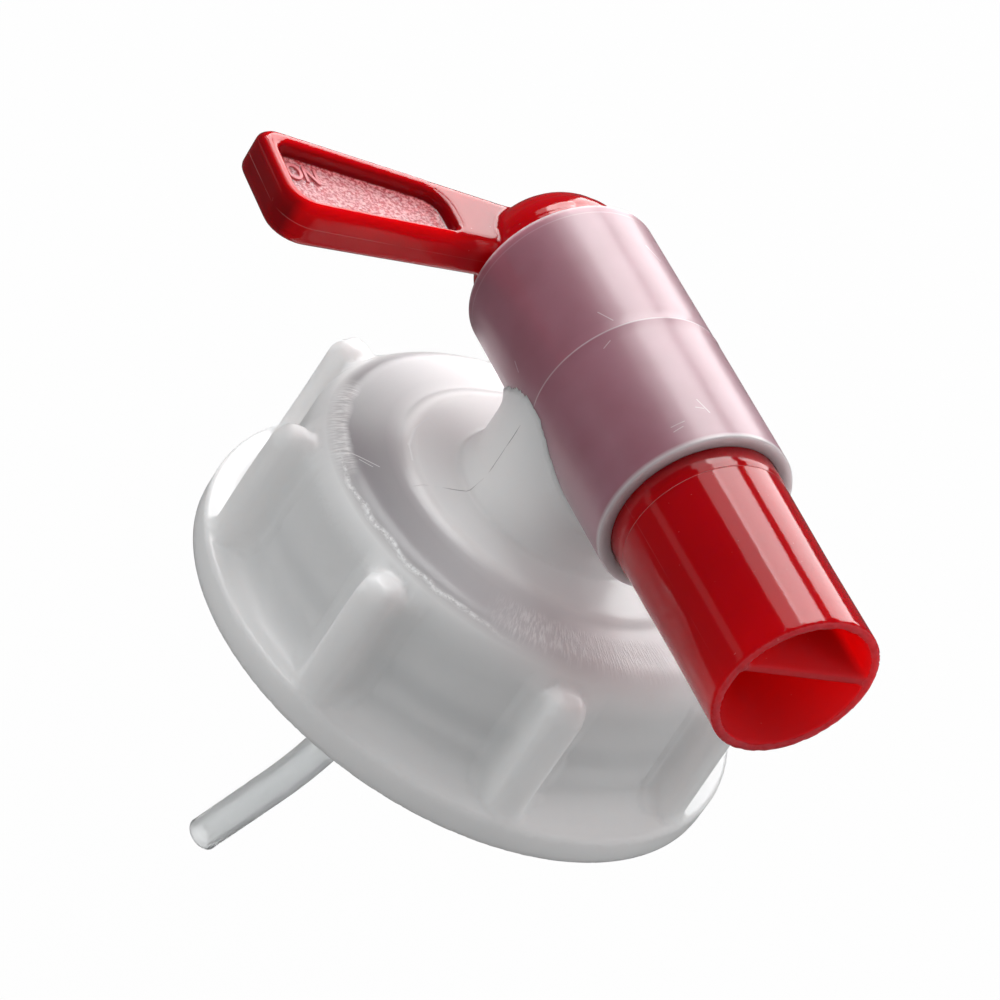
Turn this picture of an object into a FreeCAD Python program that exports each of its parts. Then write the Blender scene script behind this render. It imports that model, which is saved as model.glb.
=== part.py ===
import FreeCAD, Part
import math
import os

# Drum tap: a screw cap and barrel in one moulding, a turning plug with lever and spout,
# a flat sealing ring and a breather tube. Millimetres. +Z runs along the cap's axis, away
# from the drum, and the origin is the centre of the cap's open mouth. The barrel lies
# along Y: the lever is at its +Y end and the spout at its -Y end.

# Cap: the skirt screws onto the drum's neck, with a seat for the sealing ring at its top
thread_radius = 30.65
thread_depth = 21.2
corner_break = 1.8
recess_depth = 2.0
skirt_foot_wall = 1.95
skirt_top_wall = 1.35
flange_reach = 5.55
flange_thickness = 4.1
flange_edge_round = 0.4
flare_round = 4.2
ceiling_thickness = 2.6
shoulder_round = 4.6
crown_rise = 0.9
skirt_foot_radius = thread_radius + skirt_foot_wall
skirt_top_radius = thread_radius + skirt_top_wall
flange_radius = skirt_foot_radius + flange_reach
shoulder_height = thread_depth + ceiling_thickness

# Sealing ring, which keeps clear of the cap's inner corner and laps over the recess
gasket_gap = 0.25
gasket_width = 6.1
gasket_thickness = 2.0
recess_lap = 0.7
gasket_outer_radius = thread_radius - corner_break - gasket_gap
gasket_inner_radius = gasket_outer_radius - gasket_width
recess_radius = gasket_inner_radius - recess_lap

# Lugs: the fins that a hand or a spanner grips
lug_count = 8
lug_first_angle = 27.0
lug_thickness = 4.8
lug_set_in = 0.95
lug_draft = 0.6
lug_top_drop = 0.3
lug_top_fall = 2.2
lug_corner_round = 2.4
lug_edge_break = 1.0
lug_foot_radius = flange_radius - lug_set_in
lug_top_radius = lug_foot_radius - lug_draft
lug_top_height = shoulder_height - lug_top_drop

# Barrel: the bearing that the plug turns in
bore_radius = 11.0
barrel_wall = 1.85
barrel_lever_end = 21.2
barrel_spout_end = -21.4
barrel_edge_round = 0.35
bore_lead_in = 0.15
bore_lead_length = 0.6
running_clearance = 0.05
barrel_radius = bore_radius + barrel_wall
plug_radius = bore_radius - running_clearance

# Raised disc on the cap, and the neck that carries the barrel over it
disc_margin = 7.6
disc_step = 0.5
neck_foot_spread = 1.1
neck_set_in = 0.55
neck_flare_height = 2.8
neck_rise = 5.75
neck_seam_break = 1.2
neck_waist_radius = barrel_radius - neck_set_in
neck_foot_radius = neck_waist_radius + neck_foot_spread
disc_radius = neck_foot_radius + disc_margin
crown_height = shoulder_height + crown_rise
disc_height = crown_height + disc_step
barrel_height = disc_height + neck_rise + barrel_radius

# Snap ring on the plug and the groove that it turns in
snap_set_in = 3.8
snap_height = 0.22
snap_half_width = 0.7
snap_position = barrel_spout_end + snap_set_in

# Liquid port and its window in the plug
port_side_wall = 4.0
port_wall = 2.9
port_lever_side = 2.4
port_corner_round = 3.5
window_margin = 0.5
port_half_width = bore_radius - port_side_wall
port_spout_side = port_wall - neck_waist_radius

# Breather: socket, air port and the tube that is pushed into the socket
tube_outer_radius = 2.4
tube_bore_radius = 1.6
socket_clearance = 0.05
socket_wall = 1.4
socket_hang = 7.2
socket_stop_drop = 0.6
port_to_socket = 2.65
air_port_radius = 1.5
tube_straight_end = -10.0
tube_bend_radius = 98.0
tube_bend_degrees = 17.8
tube_bend_heading = 126.0
tube_bend_flats = 4
tube_end_run = 14.7
socket_radius = tube_outer_radius + socket_clearance
socket_foot = thread_depth - socket_hang
socket_stop = thread_depth - socket_stop_drop
breather_offset = port_lever_side + port_to_socket + socket_radius

# Spout: the plug's open end
spout_step = 2.5
spout_length = 26.45
spout_root_relief = 0.09
spout_taper = 0.21
spout_parallel_length = 12.0
spout_wall = 1.2
spout_root_radius = plug_radius - spout_root_relief
spout_end_radius = spout_root_radius - spout_taper
spout_root = barrel_spout_end - spout_step
spout_end = spout_root - spout_length

# Dividers in the plug: liquid runs below the web, air above it
web_offset = 2.0
web_thickness = 1.2
web_set_back = 0.25
cross_wall = 1.4
air_window_margin = 3.7
air_window_corner = 2.0
air_window_end = barrel_lever_end - air_window_margin

# Closed end and lever
dome_rise = 0.8
dome_flats = 5
lever_tip = 42.3
lever_tip_slant = 0.7
lever_gap = 1.3
lever_under_fall = 0.25
lever_tip_width = 16.0
lever_root_width = 9.1
lever_tip_thickness = 6.6
lever_root_thickness = 5.6
lever_under_corner = 4.6
lever_top_corner = 2.6
lever_edge_break = 1.0
dome_centre = barrel_lever_end + dome_rise
lever_under = barrel_lever_end + lever_gap
lever_tip_top = lever_under + lever_tip_width
lever_root_top = lever_under + lever_root_width

# Pockets in the two faces of the lever
pocket_depth = 2.2
pocket_tip_rim = 2.1
pocket_under_rim = 1.7
pocket_top_rim = 2.7
pocket_root_gap = 5.2
pocket_corner_round = 1.7
pocket_root_round = 3.6
pocket_rim_break = 0.5
pocket_root_end = bore_radius + pocket_root_gap

full_turn = 360.0
overcut = 1.0
seam_tolerance = 0.01
flats_per_mm = 0.65
mitred = 1

cap_axis = FreeCAD.Vector(0, 0, 1)
barrel_axis = FreeCAD.Vector(0, 1, 0)
barrel_centre = FreeCAD.Vector(0, 0, barrel_height)


def on_cap_section(radius, height):
    """Point of a section that is turned about the cap's axis."""
    return FreeCAD.Vector(radius, 0, height)


def on_barrel_section(radius, along):
    """Point of a section that is turned about the barrel's axis."""
    return FreeCAD.Vector(radius, along, barrel_height)


def on_lever_plane(out, along):
    """Point of the lever's outline, out from the barrel's axis and along it."""
    return FreeCAD.Vector(-out, along, barrel_height)


def on_level(x, y):
    """Point of an outline that is cut straight up from the mouth plane."""
    return FreeCAD.Vector(x, y, 0)


def rounded_corner(before, corner, after, rounding):
    """Tangent arc that rounds a corner, or nothing where the corner stays sharp."""
    if rounding == 0:
        return []
    back = (before - corner).normalize()
    ahead = (after - corner).normalize()
    half_angle = back.getAngle(ahead) / 2
    trim = rounding / math.tan(half_angle)
    inward = (back + ahead).normalize()
    middle = corner + inward * (rounding / math.sin(half_angle) - rounding)
    return [Part.Arc(corner + back * trim, middle, corner + ahead * trim).toShape()]


def in_flats(arc, count):
    """An arc as a number of equal flats."""
    spots = arc.discretize(count + 1)
    return [Part.LineSegment(one, other).toShape() for one, other in zip(spots, spots[1:])]


def outline_face(corners, place, turned=False):
    """Flat face inside corners of (a, b, rounding).

    A turned outline has its arcs in flats: one on a small edge break, more on a large rounding.
    """
    spots = [place(a, b) for a, b, rounding in corners]
    runs = []
    for index, (a, b, rounding) in enumerate(corners):
        following = spots[(index + 1) % len(spots)]
        arcs = rounded_corner(spots[index - 1], spots[index], following, rounding)
        if turned and arcs:
            runs.append(in_flats(arcs[0], max(1, round(rounding * flats_per_mm))))
        else:
            runs.append(arcs)
    firsts = [run[0].firstVertex(True).Point if run else spot for run, spot in zip(runs, spots)]
    lasts = [run[-1].lastVertex(True).Point if run else spot for run, spot in zip(runs, spots)]
    outline = []
    for index, run in enumerate(runs):
        outline.extend(run)
        following = firsts[(index + 1) % len(firsts)]
        outline.append(Part.LineSegment(lasts[index], following).toShape())
    return Part.Face(Part.Wire(outline))


def turned_about_cap(corners):
    """Solid turned about the cap's axis from corners of (radius, height, rounding)."""
    face = outline_face(corners, on_cap_section, turned=True)
    return face.revolve(FreeCAD.Vector(), cap_axis, full_turn)


def turned_about_barrel(corners):
    """Solid turned about the barrel's axis from corners of (radius, along, rounding)."""
    face = outline_face(corners, on_barrel_section, turned=True)
    return face.revolve(barrel_centre, barrel_axis, full_turn)


def upright_cylinder(radius, y, low, high):
    """Cylinder along Z with its axis at x = 0 and the given y."""
    return Part.makeCylinder(radius, high - low, FreeCAD.Vector(0, y, low), cap_axis)


def rounded_window(half_width, y_low, y_high, rounding, low, high):
    """Upright prism with rounded corners, for a port or window."""
    corners = [
        (-half_width, y_low, rounding),
        (half_width, y_low, rounding),
        (half_width, y_high, rounding),
        (-half_width, y_high, rounding),
    ]
    prism = outline_face(corners, on_level).extrude(cap_axis * (high - low))
    prism.translate(cap_axis * low)
    return prism


def edges_where(shape, test):
    """Edges of a shape whose middle point passes a test."""
    return [edge for edge in shape.Edges if test(edge.valueAt((edge.FirstParameter + edge.LastParameter) / 2))]


def cap_shell():
    """Cap with its flange, skirt, shoulder, disc and neck, as one turned solid."""
    return turned_about_cap([
        (0, thread_depth + recess_depth, 0),
        (recess_radius, thread_depth + recess_depth, 0),
        (recess_radius, thread_depth, 0),
        (thread_radius, thread_depth, corner_break),
        (thread_radius, 0, 0),
        (flange_radius, 0, 0),
        (flange_radius, flange_thickness, flange_edge_round),
        (skirt_foot_radius, flange_thickness, flare_round),
        (skirt_top_radius, shoulder_height, shoulder_round),
        (disc_radius, crown_height, 0),
        (disc_radius, disc_height, 0),
        (neck_foot_radius, disc_height, 0),
        (neck_waist_radius, disc_height + neck_flare_height, neck_flare_height),
        (neck_waist_radius, barrel_height, 0),
        (0, barrel_height, 0),
    ])


def lug():
    """One grip fin, rooted in the skirt and standing on the flange, along +X."""
    root = (thread_radius + skirt_top_radius) / 2
    corners = [
        (root, flange_thickness / 2, 0),
        (lug_foot_radius, flange_thickness / 2, 0),
        (lug_top_radius, lug_top_height, lug_corner_round),
        (root, lug_top_height - lug_top_fall, 0),
    ]
    fin = outline_face(corners, on_cap_section, turned=True).extrude(barrel_axis * lug_thickness)
    fin.translate(barrel_axis * (-lug_thickness / 2))
    rims = edges_where(fin, lambda spot: abs(abs(spot.y) - lug_thickness / 2) < seam_tolerance
                       and spot.x > root + seam_tolerance and spot.z > flange_thickness)
    return fin.makeChamfer(lug_edge_break, rims)


def lugs():
    """All grip fins, evenly spaced round the cap."""
    fins = []
    for index in range(lug_count):
        fin = lug()
        fin.rotate(FreeCAD.Vector(), cap_axis, lug_first_angle + index * full_turn / lug_count)
        fins.append(fin)
    return fins


def barrel():
    """Outside of the barrel, with its ends rounded."""
    return turned_about_barrel([
        (0, barrel_spout_end, 0),
        (barrel_radius, barrel_spout_end, barrel_edge_round),
        (barrel_radius, barrel_lever_end, barrel_edge_round),
        (0, barrel_lever_end, 0),
    ])


def barrel_bore():
    """Space that the plug turns in: lead-ins at both ends and the snap ring's groove."""
    groove_radius = bore_radius + snap_height
    mouth_radius = bore_radius + bore_lead_in
    groove_foot = snap_half_width + snap_height + running_clearance
    groove_top = snap_half_width + running_clearance
    return turned_about_barrel([
        (0, barrel_spout_end - overcut, 0),
        (mouth_radius, barrel_spout_end - overcut, 0),
        (mouth_radius, barrel_spout_end, 0),
        (bore_radius, barrel_spout_end + bore_lead_length, 0),
        (bore_radius, snap_position - groove_foot, 0),
        (groove_radius, snap_position - groove_top, 0),
        (groove_radius, snap_position + groove_top, 0),
        (bore_radius, snap_position + groove_foot, 0),
        (bore_radius, barrel_lever_end - bore_lead_in, 0),
        (mouth_radius, barrel_lever_end, 0),
        (mouth_radius, barrel_lever_end + overcut, 0),
        (0, barrel_lever_end + overcut, 0),
    ])


def tap_body():
    """Cap, neck and barrel, moulded in one piece with the ports and the breather's socket."""
    body = cap_shell()
    body = body.fuse(lugs() + [barrel()])
    body = body.makeChamfer(neck_seam_break, edges_where(body, on_neck_seam))
    socket_outer = socket_radius + socket_wall
    body = body.fuse(upright_cylinder(socket_outer, breather_offset, socket_foot, shoulder_height))
    body = body.cut(barrel_bore())
    port = rounded_window(port_half_width, port_spout_side, port_lever_side, port_corner_round,
                          thread_depth - overcut, barrel_height)
    air_port = upright_cylinder(air_port_radius, breather_offset, socket_stop - overcut, barrel_height)
    socket = upright_cylinder(socket_radius, breather_offset, socket_foot - overcut, socket_stop)
    return body.cut([port, air_port, socket]).removeSplitter()


def on_neck_seam(spot):
    """Whether a point lies where the neck runs into the barrel."""
    from_neck = math.hypot(spot.x, spot.y) - neck_waist_radius
    from_barrel = math.hypot(spot.x, spot.z - barrel_height) - barrel_radius
    return abs(from_neck) < seam_tolerance and abs(from_barrel) < seam_tolerance


def plug_turning():
    """Outside of the plug: spout, snap ring, sealing length and domed end, solid inside."""
    snap_radius = plug_radius + snap_height
    snap_foot = snap_half_width + snap_height
    dome_top = dome_centre + plug_radius
    dome_middle = plug_radius * math.sqrt(0.5)
    outline = [
        (0, spout_end),
        (spout_end_radius, spout_end),
        (spout_end_radius, spout_end + spout_parallel_length),
        (spout_root_radius, spout_root),
        (plug_radius, spout_root),
        (plug_radius, snap_position - snap_foot),
        (snap_radius, snap_position - snap_half_width),
        (snap_radius, snap_position + snap_half_width),
        (plug_radius, snap_position + snap_foot),
        (plug_radius, dome_centre),
    ]
    spots = [on_barrel_section(radius, along) for radius, along in outline]
    sides = [Part.LineSegment(one, other).toShape() for one, other in zip(spots, spots[1:])]
    crown = on_barrel_section(0, dome_top)
    shoulder = on_barrel_section(dome_middle, dome_centre + dome_middle)
    sides.extend(in_flats(Part.Arc(spots[-1], shoulder, crown).toShape(), dome_flats))
    sides.append(Part.LineSegment(crown, spots[0]).toShape())
    return Part.Face(Part.Wire(sides)).revolve(barrel_centre, barrel_axis, full_turn)


def plug_cores():
    """Hollows in the plug: liquid passage, air passage and the two windows below."""
    core_radius = spout_end_radius - spout_wall
    web_under = barrel_height + web_offset - web_thickness / 2
    web_over = barrel_height + web_offset + web_thickness / 2
    cross_face = port_lever_side - window_margin
    round_core = turned_about_barrel([
        (0, spout_end - overcut, 0),
        (core_radius, spout_end - overcut, 0),
        (core_radius, dome_centre, 0),
        (0, dome_centre, 0),
    ])
    span = 2 * plug_radius
    corner = FreeCAD.Vector(-plug_radius, spout_end - overcut, web_over)
    above_web = Part.makeBox(span, dome_centre + span - spout_end, span, corner)
    air_passage = round_core.common(above_web)
    corner = FreeCAD.Vector(-plug_radius, spout_end - overcut, web_under - span)
    below_web = Part.makeBox(span, cross_face + overcut - spout_end, span, corner)
    liquid_passage = round_core.common(below_web)
    corner = FreeCAD.Vector(-plug_radius, spout_end - overcut, web_under - overcut)
    set_back = Part.makeBox(span, overcut + web_set_back, span, corner).common(round_core)
    foot = barrel_height - plug_radius - overcut
    liquid_window = rounded_window(port_half_width - window_margin, port_spout_side + window_margin,
                                   cross_face, port_corner_round - window_margin, foot, barrel_height)
    air_window = rounded_window(port_half_width, cross_face + cross_wall, air_window_end,
                                air_window_corner, foot, web_over)
    return [air_passage, liquid_passage, set_back, liquid_window, air_window]


def lever_blank():
    """Lever arm with its tapering thickness and rounded edges, before the pockets."""
    corners = [
        (0, lever_under, 0),
        (lever_tip, lever_under - lever_under_fall, lever_under_corner),
        (lever_tip - lever_tip_slant, lever_tip_top, lever_top_corner),
        (0, lever_root_top, 0),
    ]
    reach = lever_tip_thickness
    plate = outline_face(corners, on_lever_plane).extrude(cap_axis * (2 * reach))
    plate.translate(cap_axis * -reach)
    tip_half = lever_tip_thickness / 2
    root_half = lever_root_thickness / 2
    wedge_corners = [(0, -root_half), (lever_tip + overcut, -tip_half), (lever_tip + overcut, tip_half), (0, root_half)]
    spots = [FreeCAD.Vector(-out, lever_under - overcut, barrel_height + side) for out, side in wedge_corners]
    wedge_face = Part.Face(Part.makePolygon(spots + spots[:1]))
    wedge = wedge_face.extrude(barrel_axis * (lever_tip_top - lever_under + 2 * overcut))
    arm = plate.common(wedge)
    rims = edges_where(arm, lambda spot: abs(spot.z - barrel_height) > root_half - seam_tolerance
                       and spot.x < 0)
    return arm.makeChamfer(lever_edge_break, rims)


def lever_pockets():
    """Recesses in both faces of the lever, which leave a rim and a thin middle."""
    top_slope = (lever_tip_top - lever_root_top) / lever_tip
    tip_edge = lever_tip - pocket_tip_rim
    top_at_tip = lever_root_top + top_slope * tip_edge - pocket_top_rim
    top_at_root = lever_root_top + top_slope * pocket_root_end - pocket_top_rim
    under_edge = lever_under + pocket_under_rim
    corners = [
        (pocket_root_end, under_edge, pocket_corner_round),
        (tip_edge, under_edge, lever_under_corner - pocket_tip_rim),
        (tip_edge - lever_tip_slant, top_at_tip, pocket_corner_round),
        (pocket_root_end, top_at_root, pocket_root_round),
    ]
    floor_height = lever_tip_thickness / 2 - pocket_depth
    pocket = outline_face(corners, on_lever_plane).extrude(cap_axis * lever_tip_thickness)
    pocket.translate(cap_axis * floor_height)
    opposite = pocket.mirror(barrel_centre, cap_axis)
    return [pocket, opposite]


def valve_plug():
    """Plug with its lever, dome and spout, moulded in one piece."""
    plug = plug_turning().fuse(lever_blank())
    pockets = lever_pockets()
    pocketed = plug.cut(pockets)
    rims = edges_where(pocketed, lambda spot: on_lever_face(spot) and touches(spot, pockets))
    pocketed = pocketed.makeChamfer(pocket_rim_break, rims)
    return pocketed.cut(plug_cores())


def on_lever_face(spot):
    """Whether a point lies in one of the lever's two tapering faces."""
    share = -spot.x / (lever_tip + overcut)
    half = (lever_root_thickness + (lever_tip_thickness - lever_root_thickness) * share) / 2
    return abs(abs(spot.z - barrel_height) - half) < seam_tolerance


def touches(spot, shapes):
    """Whether a point lies on or in any of some shapes."""
    return any(Part.Vertex(spot).distToShape(shape)[0] < seam_tolerance for shape in shapes)


def cap_gasket():
    """Flat sealing ring that the drum's rim presses against the cap."""
    low = thread_depth - gasket_thickness
    return turned_about_cap([
        (gasket_inner_radius, low, 0),
        (gasket_outer_radius, low, 0),
        (gasket_outer_radius, thread_depth, 0),
        (gasket_inner_radius, thread_depth, 0),
    ])


def breather_path():
    """Centre line of the breather tube: straight, one long bend in short runs, straight."""
    heading = math.radians(tube_bend_heading)
    bend = math.radians(tube_bend_degrees)
    sideways = FreeCAD.Vector(math.cos(heading), math.sin(heading), 0)
    start = FreeCAD.Vector(0, breather_offset, socket_stop)
    bend_start = FreeCAD.Vector(0, breather_offset, tube_straight_end)

    def along_bend(angle):
        shift = sideways * (tube_bend_radius * (1 - math.cos(angle)))
        return bend_start + shift - cap_axis * (tube_bend_radius * math.sin(angle))

    bend_end = along_bend(bend)
    arc = Part.Arc(bend_start, along_bend(bend / 2), bend_end).toShape()
    run = sideways * math.sin(bend) - cap_axis * math.cos(bend)
    end = bend_end + run * tube_end_run
    runs = [Part.LineSegment(start, bend_start).toShape()]
    runs.extend(in_flats(arc, tube_bend_flats))
    runs.append(Part.LineSegment(bend_end, end).toShape())
    return Part.Wire(runs)


def breather_tube():
    """Stiff plastic tube that lets air into the drum as the liquid runs out."""
    path = breather_path()
    start = path.Vertexes[0].Point
    skins = []
    for radius in (tube_outer_radius, tube_bore_radius):
        ring = Part.Wire([Part.makeCircle(radius, start, cap_axis)])
        skins.append(path.makePipeShell([ring], True, False, mitred))
    return skins[0].cut(skins[1])


def main():
    """Write one file per piece."""
    os.makedirs("parts", exist_ok=True)
    pieces = {
        "tap_body": tap_body(),
        "valve_plug": valve_plug(),
        "cap_gasket": cap_gasket(),
        "breather_tube": breather_tube(),
    }
    for name, shape in pieces.items():
        shape.exportStep("parts/" + name + ".step")
        print(name, "solids", len(shape.Solids), "valid", shape.isValid(), "volume", round(shape.Volume, 1))


main()
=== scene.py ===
# %% [markdown]
# # A drum tap in milky and red plastic
# This lesson dresses a tap for a drum. Its solids were drawn in a CAD program and packed as a
# frame. The CAD model has plain facets, because a simulator reads them too. Here each piece gets
# the soft edges, the small marks and the finish that the moulded plastic has. Everything is in
# metres, +Z runs up the cap's axis, and the barrel lies along Y.

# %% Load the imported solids
import bpy
import math
import numpy as np
from mathutils import Matrix, Vector


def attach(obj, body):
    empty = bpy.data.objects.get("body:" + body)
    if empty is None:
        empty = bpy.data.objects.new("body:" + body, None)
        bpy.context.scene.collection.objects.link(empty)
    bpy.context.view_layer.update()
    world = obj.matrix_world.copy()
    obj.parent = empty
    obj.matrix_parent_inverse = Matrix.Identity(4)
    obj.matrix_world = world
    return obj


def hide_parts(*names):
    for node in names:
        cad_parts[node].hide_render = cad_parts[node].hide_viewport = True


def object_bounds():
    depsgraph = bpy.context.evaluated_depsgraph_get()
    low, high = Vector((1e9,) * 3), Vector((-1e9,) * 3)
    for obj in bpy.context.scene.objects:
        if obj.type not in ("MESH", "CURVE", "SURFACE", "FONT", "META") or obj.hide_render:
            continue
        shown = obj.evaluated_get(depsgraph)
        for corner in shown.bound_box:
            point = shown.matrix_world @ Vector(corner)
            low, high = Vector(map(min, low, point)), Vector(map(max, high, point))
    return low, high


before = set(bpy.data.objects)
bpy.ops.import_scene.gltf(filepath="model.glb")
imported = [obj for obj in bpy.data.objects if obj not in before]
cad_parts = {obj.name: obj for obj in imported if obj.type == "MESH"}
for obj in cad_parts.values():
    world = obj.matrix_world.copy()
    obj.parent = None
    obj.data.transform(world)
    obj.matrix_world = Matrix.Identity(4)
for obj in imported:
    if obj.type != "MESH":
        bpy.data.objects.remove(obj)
cad_low, cad_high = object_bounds()
MM = 0.001
METRES_TO_MM = 1000
print("solids:", sorted(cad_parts))

# %% [markdown]
# ## Camera and view
# The photograph looks down on the tap from about 30 degrees, with the cap's axis leaning to the
# right. The camera's three directions were solved from the outlines of the flange, the barrel and
# the spout. A long lens keeps the shapes nearly parallel, as they are in the picture.

# %% Camera at the photograph's angle
camera_right = Vector((0.7969, -0.3661, 0.4805))
camera_up = Vector((-0.1156, 0.6882, 0.7162))
camera_back = Vector((-0.5929, -0.6264, 0.5061))
camera_place = Vector((-284.60, -292.26, 260.56)) * MM
camera_data = bpy.data.cameras.new("photo_camera")
camera_data.sensor_width = 36.0
camera_data.lens = 134.88
camera_data.clip_start = 10 * MM
camera_data.clip_end = 20000 * MM
camera = bpy.data.objects.new("photo_camera", camera_data)
bpy.context.scene.collection.objects.link(camera)
camera_turn = Matrix((camera_right, camera_up, camera_back)).transposed()
camera.matrix_world = Matrix.Translation(camera_place) @ camera_turn.to_4x4()
bpy.context.scene.camera = camera
bpy.context.scene.view_settings.view_transform = "Standard"
print("camera is", round(camera_place.length / MM), "mm from the cap")

# %% [markdown]
# ## Floor
# The real tap was pictured in front of white. A wide floor of pale colour stands in for that. To
# the camera it is nearly all plain white, and a small share is a real diffuse surface, so that the
# tap still drops a faint shadow on it. Mirrored in gloss it is almost black, which keeps the red
# deep.

# %% Floor
FLOOR_DROP = 4 * MM
FLOOR_REACH = 4000 * MM
WHITE_SHARE = 0.985
floor_level = cad_low.z - FLOOR_DROP
floor_ways = ((-1, -1), (1, -1), (1, 1), (-1, 1))
floor_corners = [(x * FLOOR_REACH, y * FLOOR_REACH, floor_level) for x, y in floor_ways]
floor_mesh = bpy.data.meshes.new("studio_floor")
floor_mesh.from_pydata(floor_corners, [], [(0, 1, 2, 3)])
floor = bpy.data.objects.new("studio_floor", floor_mesh)
bpy.context.scene.collection.objects.link(floor)


def new_material(name):
    """Material with an empty node tree, and its output node."""
    material = bpy.data.materials.new(name)
    material.use_nodes = True
    tree = material.node_tree
    tree.nodes.clear()
    output = tree.nodes.new("ShaderNodeOutputMaterial")
    return material, tree, output


def add(tree, kind, **settings):
    """A node of one kind, with its settings and the constant values of its sockets."""
    node = tree.nodes.new("ShaderNode" + kind)
    for key, value in settings.items():
        if hasattr(node, key):
            setattr(node, key, value)
        else:
            node.inputs[key.replace("_", " ")].default_value = value
    return node


def blended(tree, share, first, second):
    """Shader between two shaders."""
    mix = add(tree, "MixShader")
    tree.links.new(share, mix.inputs[0])
    tree.links.new(first.outputs[0], mix.inputs[1])
    tree.links.new(second.outputs[0], mix.inputs[2])
    return mix


def floor_finish():
    """White to the camera, nearly black in reflections, and a grey card to the light."""
    material, tree, output = new_material("studio_white")
    card = add(tree, "BsdfDiffuse", Color=(0.3, 0.3, 0.3, 1))
    glow = add(tree, "Emission", Color=(1, 1, 1, 1), Strength=1.0)
    dim = add(tree, "Emission", Color=(1, 1, 1, 1), Strength=0.08)
    path = add(tree, "LightPath")
    seen = add(tree, "Math", operation="MAXIMUM")
    tree.links.new(path.outputs["Is Camera Ray"], seen.inputs[0])
    tree.links.new(path.outputs["Is Transmission Ray"], seen.inputs[1])
    share = add(tree, "Math", operation="MULTIPLY")
    share.inputs[1].default_value = WHITE_SHARE
    tree.links.new(seen.outputs[0], share.inputs[0])
    reflected = blended(tree, path.outputs["Is Glossy Ray"], card, dim)
    mix = blended(tree, share.outputs[0], reflected, glow)
    tree.links.new(mix.outputs[0], output.inputs["Surface"])
    return material


floor_mesh.materials.append(floor_finish())
print("floor at", round(floor_level / MM, 1), "mm")

# %% [markdown]
# ## Soft light
# Large soft boxes give the long even highlights that the picture shows on the barrel and the
# spout. They are placed by their angle round the barrel, because that is where their mirror
# images lie. The fills light the object without a mirror image of their own.

# %% Soft boxes
BOX_DISTANCE = 800 * MM
AIR_LIGHT = 0.06
tap_middle = Vector((0, -6, 30)) * MM
world = bpy.data.worlds.new("studio_air")
world.use_nodes = True
background = world.node_tree.nodes["Background"]
background.inputs["Color"].default_value = (0.95, 0.97, 1.0, 1)
background.inputs["Strength"].default_value = AIR_LIGHT
bpy.context.scene.world = world


def soft_box(name, around, lean, wide, tall, brightness, mirrored=True):
    """Lamp that faces the tap, placed and sized by angles in degrees.

    Around is its angle round the barrel, and lean its tilt towards the lever's end.
    """
    turn = math.radians(around)
    tilt = math.radians(lean)
    direction = Vector((math.cos(turn) * math.cos(tilt), math.sin(tilt), math.sin(turn) * math.cos(tilt)))
    sideways = Vector((-math.sin(turn), 0, math.cos(turn)))
    lamp = bpy.data.lights.new(name, "AREA")
    lamp.shape = "RECTANGLE"
    lamp.size = 2 * BOX_DISTANCE * math.tan(math.radians(wide) / 2)
    lamp.size_y = 2 * BOX_DISTANCE * math.tan(math.radians(tall) / 2)
    lamp.energy = brightness * math.pi * lamp.size * lamp.size_y
    box = bpy.data.objects.new(name, lamp)
    bpy.context.scene.collection.objects.link(box)
    axes = Matrix((sideways, direction.cross(sideways), direction)).transposed()
    box.matrix_world = Matrix.Translation(tap_middle + direction * BOX_DISTANCE) @ axes.to_4x4()
    box.visible_glossy = mirrored


soft_box("right_box", 35, 39, 31, 44, 3.9)
soft_box("top_box", 81, 39, 27, 44, 5.6)
soft_box("top_fade_box", 105, 39, 20, 44, 1.5)
soft_box("left_strip", 188, 39, 17, 40, 0.27)
soft_box("left_fill", 180, 20, 60, 60, 1.05, mirrored=False)
soft_box("over_fill", 140, -20, 60, 60, 0.65, mirrored=False)
soft_box("front_fill", 50, -50, 50, 50, 0.8, mirrored=False)
soft_box("right_fill", 30, -20, 50, 50, 1.25, mirrored=False)

# %% [markdown]
# ## Soft edges on moulded pieces
# A moulded tap has no sharp corner anywhere. One could bevel each edge, but where a fin, a cone
# and a fillet meet, a bevel breaks. Rebuilding the whole skin as an even net of small squares is
# sturdier: every edge and every inner corner comes out softly rounded. The net follows the flat
# facets of the solid, so afterwards the round walls are trued up to their real outline.

# %% Even net over a solid
WELD_GAP = 0.002 * MM


def copy_of_solid(node_name, piece_name):
    """New object with a copy of a solid's mesh."""
    piece = bpy.data.objects.new(piece_name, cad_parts[node_name].data.copy())
    bpy.context.scene.collection.objects.link(piece)
    return piece


def remould(piece, net, rounds):
    """Rebuilds a closed skin as an even net and smooths it for a few rounds."""
    weld = piece.modifiers.new("weld", "WELD")
    weld.merge_threshold = WELD_GAP
    skin = piece.modifiers.new("even_net", "REMESH")
    skin.mode = "VOXEL"
    skin.voxel_size = net
    skin.use_smooth_shade = True
    soften = piece.modifiers.new("soften", "SMOOTH")
    soften.factor = 0.5
    soften.iterations = rounds
    settled = piece.evaluated_get(bpy.context.evaluated_depsgraph_get())
    mesh = bpy.data.meshes.new_from_object(settled)
    piece.modifiers.clear()
    piece.data = mesh
    mesh.materials.clear()
    print(piece.name, "has", len(mesh.polygons), "squares")
    return piece


# %% [markdown]
# ## Truing up round walls
# A turned outline is a list of corners, each with a rounding, just as a lathe hand would sketch
# it. Each point of the net that lies close to the outline is moved onto it, and points further
# off are left alone, so fins and windows keep their shape.

# %% Outline of a turned wall
ARC_STEP = math.radians(4)
PORTION = 20000


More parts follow.
